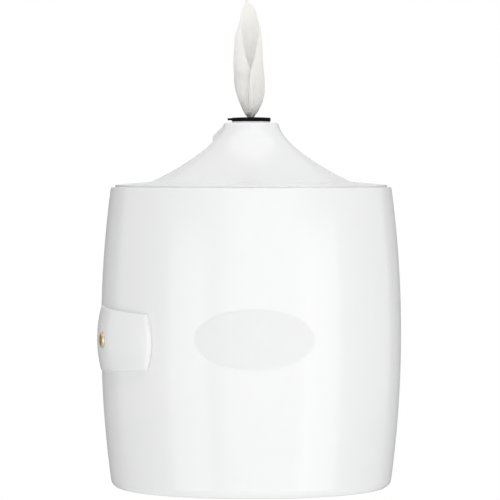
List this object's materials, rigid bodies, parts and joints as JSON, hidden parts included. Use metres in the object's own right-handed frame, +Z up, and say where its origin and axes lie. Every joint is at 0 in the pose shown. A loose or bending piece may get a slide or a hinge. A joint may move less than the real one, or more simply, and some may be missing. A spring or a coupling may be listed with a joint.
{
  "type": "wall wipes dispenser",
  "caption": "Wall-mounted wipes dispenser: barrel-shaped front cover hinged on a wall shell, side cam lock, bell-shaped top with a rubber nozzle, and a centre-pull wipe roll.",
  "frame": {"origin": "middle of the wall-screw holes, on the wall face of the rear shell", "axes": "+Z up, +Y into the wall, the front cover faces -Y, +X to the right as seen from the front"},
  "size_m": [0.269, 0.2683, 0.4317],
  "materials": {
    "cover_plastic": "gloss moulded white",
    "shell_plastic": "satin moulded white",
    "tray_plastic": "fine grained moulded white",
    "collar_plastic": "gloss moulded white",
    "grommet_rubber": "moulded black rubber",
    "lock_brass": "turned brass",
    "nut_brass": "turned brass",
    "wafer_brass": "stamped brass",
    "keeper_steel": "zinc plated sheet steel",
    "screw_steel": "zinc plated",
    "pin_steel": "drawn steel",
    "label_film": "satin printed film",
    "wipe_fabric": "soft nonwoven"
  },
  "bodies": {
    "root": {"rear_shell": "shell_plastic", "base_tray": "tray_plastic", "base_tray_screws": "screw_steel", "top_cover": "cover_plastic", "top_cover_screws": "screw_steel", "nozzle_collar": "collar_plastic", "nozzle_grommet": "grommet_rubber", "latch_keeper": "keeper_steel", "latch_keeper_screws": "screw_steel", "upper_hinge_pin": "pin_steel", "lower_hinge_pin": "pin_steel", "wipe_roll": "wipe_fabric"},
    "door": {"front_cover": "cover_plastic", "lock_housing": "cover_plastic", "lock_housing_screws": "screw_steel", "lock_body": "lock_brass", "lock_nut": "nut_brass", "lock_washer": "keeper_steel", "oval_label": "label_film"},
    "lock_core": {"lock_plug": "lock_brass", "lock_wafers": "wafer_brass", "lock_cam": "keeper_steel", "cam_screw": "screw_steel"},
    "wipe": {"wipe_tail": "wipe_fabric"}
  },
  "joints": [
    {"name": "door_swing", "type": "hinge", "parent": "root", "child": "door", "pos_m": [0.126, -0.131, 0], "axis": [0, 0, 1], "range_deg": [0, 105]},
    {"name": "lock_turn", "type": "hinge", "parent": "door", "child": "lock_core", "pos_m": [-0.13099, -0.18895, -0.003], "axis": [0.9455, 0.3256, 0], "range_deg": [0, 90]},
    {"name": "wipe_pull", "type": "slide", "parent": "root", "child": "wipe", "axis": [0, 0, 1], "range_m": [0, 0.05]}
  ]
}
